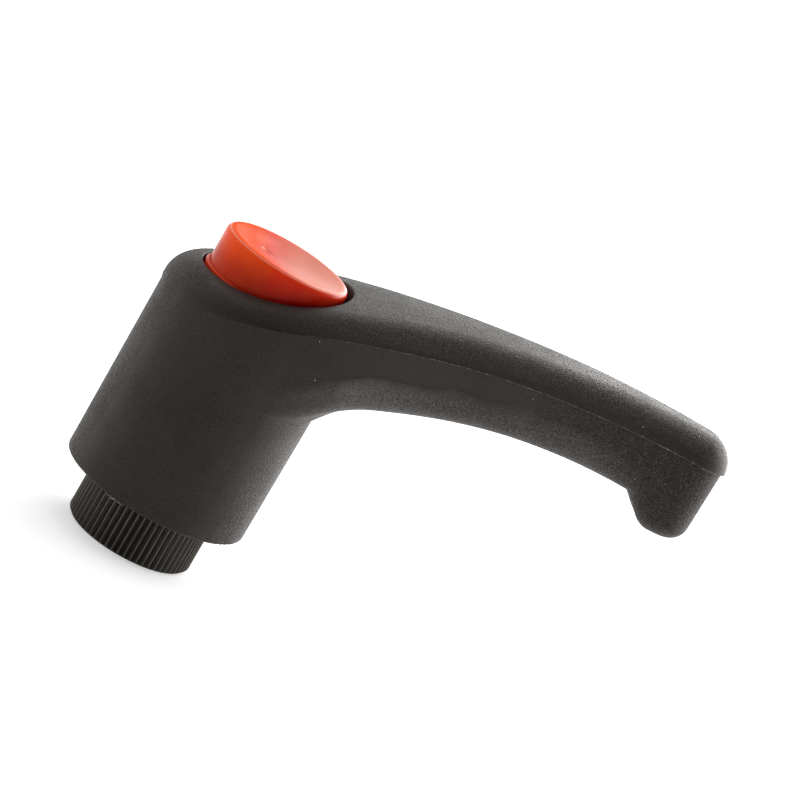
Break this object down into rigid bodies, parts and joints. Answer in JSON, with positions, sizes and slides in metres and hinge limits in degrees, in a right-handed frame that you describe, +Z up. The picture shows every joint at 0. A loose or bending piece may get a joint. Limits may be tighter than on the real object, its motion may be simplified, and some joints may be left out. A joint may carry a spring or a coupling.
{
  "type": "adjustable clamping lever",
  "caption": "Ratchet clamping lever: ribbed steel boss with a threaded bore, spring-loaded moulded handle that lifts off the serrations to be indexed, and a push button.",
  "frame": {"origin": "centre of the boss's bottom face, at the mouth of its threaded bore", "axes": "+Z up the hub axis towards the button, +X along the arm towards its nose"},
  "size_m": [0.0963, 0.0324, 0.0608],
  "materials": {
    "moulded_lever": "matte glass-filled nylon with a fine eroded grain",
    "push_button": "glossy orange-red moulding",
    "boss_steel": "black oxide",
    "screw_steel": "zinc plated",
    "spring_steel": "bright stainless wire"
  },
  "bodies": {
    "boss_unit": {"clamping_boss": "boss_steel", "retaining_screw": "screw_steel", "return_spring": "spring_steel"},
    "button": {"push_button": "push_button"},
    "handle": {"lever": "moulded_lever"}
  },
  "joints": [
    {"name": "lever_index", "type": "hinge", "parent": "boss_unit", "child": "button", "pos_m": [0, 0, 0], "axis": [0, 0, 1], "continuous": true},
    {"name": "lever_lift", "type": "slide", "parent": "button", "child": "handle", "axis": [0, 0, 1], "range_m": [0, 0.0055], "stiffness_N_per_m": 1500, "springref_m": -0.004, "deforming": ["return_spring"]}
  ]
}
